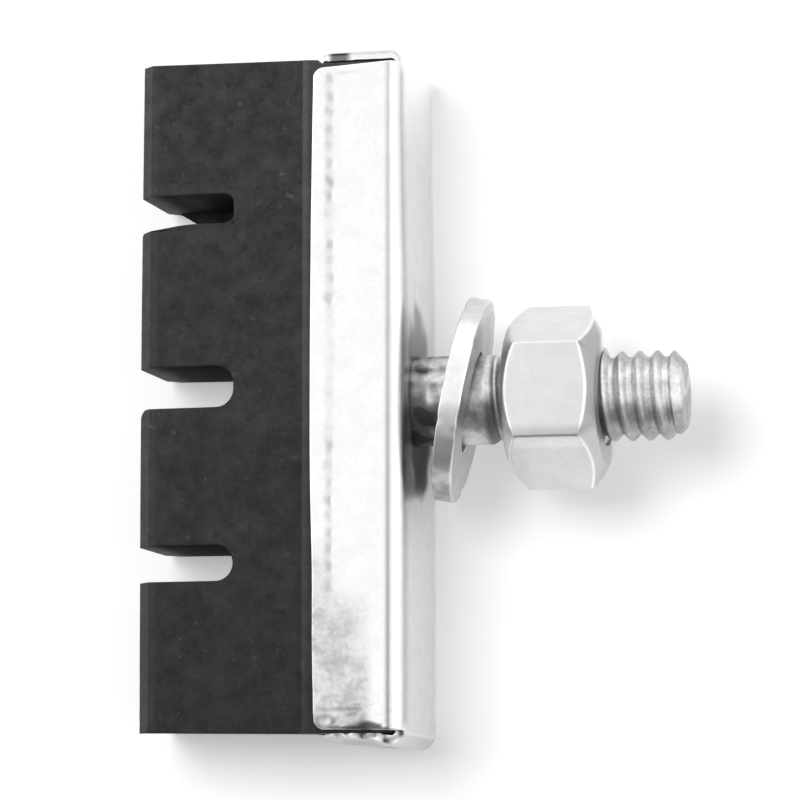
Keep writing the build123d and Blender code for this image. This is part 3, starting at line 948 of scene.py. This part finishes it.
def plated_finish(name, group, pits, **skin_values):
    """Plated steel: the shared skin drives colour, roughness and a shallow bump of strength pits.

    The dirt and painted shade kept on the points darken and dull it."""
    material, tree = new_tree(name)
    skin = put(tree, "ShaderNodeGroup", {"node_tree": group}, **skin_values).outputs
    soil = kept(tree, "soil")
    # dirt and painted shade kept on the points darken and dull the steel
    stained_and_shaded = blend(tree, "RGBA", skin["Color"], (0.10, 0.10, 0.10, 1), soil)
    dulled = blend(tree, "FLOAT", skin["Roughness"], 0.6, soil)
    normal = bumped(tree, skin["Height"], pits, 0.00008)
    finish_with(tree, Metallic=1.0, Base_Color=stained_and_shaded, Roughness=dulled, Normal=normal)
    return material


def shoe_finish(group):
    """Bright plate over sheet steel, worn where scuffed, dark where soiled or given painted shade, and
    blurred by dirt, painted shade or haze.
    """
    material, tree = new_tree("bright_plate")
    clean = put(tree, "ShaderNodeGroup", {"node_tree": group},
                Bright=0.93, Dull=0.88, Smooth=0.09, Rough=0.16, Size=700).outputs
    worn = put(tree, "ShaderNodeGroup", {"node_tree": group},
               Bright=0.74, Dull=0.51, Smooth=0.24, Rough=0.37, Size=620).outputs
    scuff = kept(tree, "scuff")
    soil = kept(tree, "soil")
    haze = kept(tree, "haze")
    blur = calculate(tree, "MAXIMUM", soil, haze)
    colour = blend(tree, "RGBA", clean["Color"], worn["Color"], scuff)
    rough = blend(tree, "FLOAT", clean["Roughness"], worn["Roughness"], scuff)
    # dirt and painted shade kept on the points darken the plate
    stained_and_shaded = blend(tree, "RGBA", colour, (0.06, 0.06, 0.06, 1), soil)
    dulled = blend(tree, "FLOAT", rough, 0.45, blur)
    normal = bumped(tree, worn["Height"], 0.12, 0.00006)
    finish_with(tree, Metallic=1.0, Base_Color=stained_and_shaded, Roughness=dulled, Normal=normal)
    return material


# Stage


def seen_directly(tree):
    """1 for camera, glossy and transmission rays, and 0 for the rays that light things."""
    ray = put(tree, "ShaderNodeLightPath").outputs
    first = calculate(tree, "MAXIMUM", ray["Is Camera Ray"], ray["Is Glossy Ray"])
    return calculate(tree, "MAXIMUM", first, ray["Is Transmission Ray"])


def make_floor():
    """The bench: a wide flat sheet, matt white, with a little light of its own where it is seen."""
    s, t = np.meshgrid([-BENCH_HALF, BENCH_HALF], [-BENCH_HALF, BENCH_HALF])
    points = np.stack([s, t, BENCH_LEVEL + BENCH_SLOPE * s], -1).reshape(-1, 3)
    mesh = bpy.data.meshes.new("bench")
    mesh.from_pydata((points * MM).tolist(), [], [[0, 1, 3, 2]])
    floor = bpy.data.objects.new("bench", mesh)
    scene.collection.objects.link(floor)
    material, tree = new_tree("white_bench")
    share = calculate(tree, "MULTIPLY", seen_directly(tree), 0.35)
    matt = put(tree, "ShaderNodeBsdfDiffuse", Color=(0.82, 0.82, 0.82, 1)).outputs["BSDF"]
    glow = put(tree, "ShaderNodeEmission", Color=(1, 1, 1, 1), Strength=share).outputs["Emission"]
    both = put(tree, "ShaderNodeAddShader", None, (matt, glow)).outputs["Shader"]
    put(tree, "ShaderNodeOutputMaterial", Surface=both)
    mesh.materials.append(material)


def make_room():
    """Pale studio and its soft fill: a shaded wall towards -Y, brighter sides and a window towards +Y."""
    world = bpy.data.worlds.new("studio")
    scene.world = world
    world.use_nodes = True
    tree = world.node_tree
    tree.nodes.clear()
    coords = put(tree, "ShaderNodeTexCoord").outputs["Generated"]
    way = put(tree, "ShaderNodeSeparateXYZ", Vector=coords).outputs
    tone = remap(tree, way["Y"], (-0.9, 0.0), (0.20, 1.08))
    aside = calculate(tree, "ABSOLUTE", way["X"])
    sides = remap(tree, aside, (0.3, 0.75), (1.0, 1.4))
    window = remap(tree, way["Y"], (0.55, 0.95), (1.0, 1.45))
    brighter = calculate(tree, "MULTIPLY", sides, window)
    shade = calculate(tree, "MULTIPLY", tone, brighter)
    light = put(tree, "ShaderNodeBackground", Strength=0.45, Color=shade).outputs["Background"]
    look = put(tree, "ShaderNodeBackground", Strength=1.0, Color=shade).outputs["Background"]
    mix = put(tree, "ShaderNodeMixShader", None, (seen_directly(tree), light, look))
    put(tree, "ShaderNodeOutputWorld", Surface=mix.outputs["Shader"])


def add_softbox(name, place, size, glow):
    """A level square lamp that shines down, in metres. glow is its brightness, with white as 1."""
    lamp = bpy.data.lights.new(name, "AREA")
    lamp.shape = "SQUARE"
    lamp.size = size
    lamp.energy = glow * np.pi * size**2
    box = bpy.data.objects.new(name, lamp)
    box.location = place
    box.visible_glossy = False
    scene.collection.objects.link(box)


def add_camera():
    """The photograph's view: nearly straight down, from a little towards the stud and the lower end."""
    cos_swing, sin_swing = np.cos(CAMERA_SWING), np.sin(CAMERA_SWING)
    cos_nod, sin_nod = np.cos(CAMERA_NOD), np.sin(CAMERA_NOD)
    swing = np.array([[cos_swing, 0, -sin_swing], [0, 1, 0], [sin_swing, 0, cos_swing]])
    nod = np.array([[1, 0, 0], [0, cos_nod, sin_nod], [0, -sin_nod, cos_nod]])
    turn = (nod @ swing).T
    eye = turn @ np.array([*CAMERA_SHIFT, CAMERA_AWAY]) * MM
    lens = bpy.data.cameras.new("camera")
    lens.sensor_width = SENSOR
    lens.lens = PIXELS_PER_MM * CAMERA_AWAY / PICTURE * SENSOR
    lens.clip_start = 0.01
    lens.clip_end = 20
    camera = bpy.data.objects.new("camera", lens)
    camera.matrix_world = Matrix.Translation(eye.tolist()) @ Matrix(turn.tolist()).to_4x4()
    scene.collection.objects.link(camera)
    scene.camera = camera


plating = plating_group()
make_block(rubber_finish())
make_shoe(shoe_finish(plating))
make_stud(plated_finish(
    "zinc_stud", plating, 0.15, Bright=0.82, Dull=0.60, Smooth=0.32, Rough=0.46, Size=900,
))
make_nut(plated_finish(
    "zinc_nut", plating, 0.05, Bright=0.95, Dull=0.89, Smooth=0.20, Rough=0.28, Size=420,
))
make_washer(plated_finish(
    "tumbled_washer", plating, 0.12, Bright=0.95, Dull=0.82, Smooth=0.26, Rough=0.38, Size=420,
))
make_floor()
make_room()
add_softbox("key", place=(-0.20, 0.16, 0.80), size=0.36, glow=9.4)
add_camera()
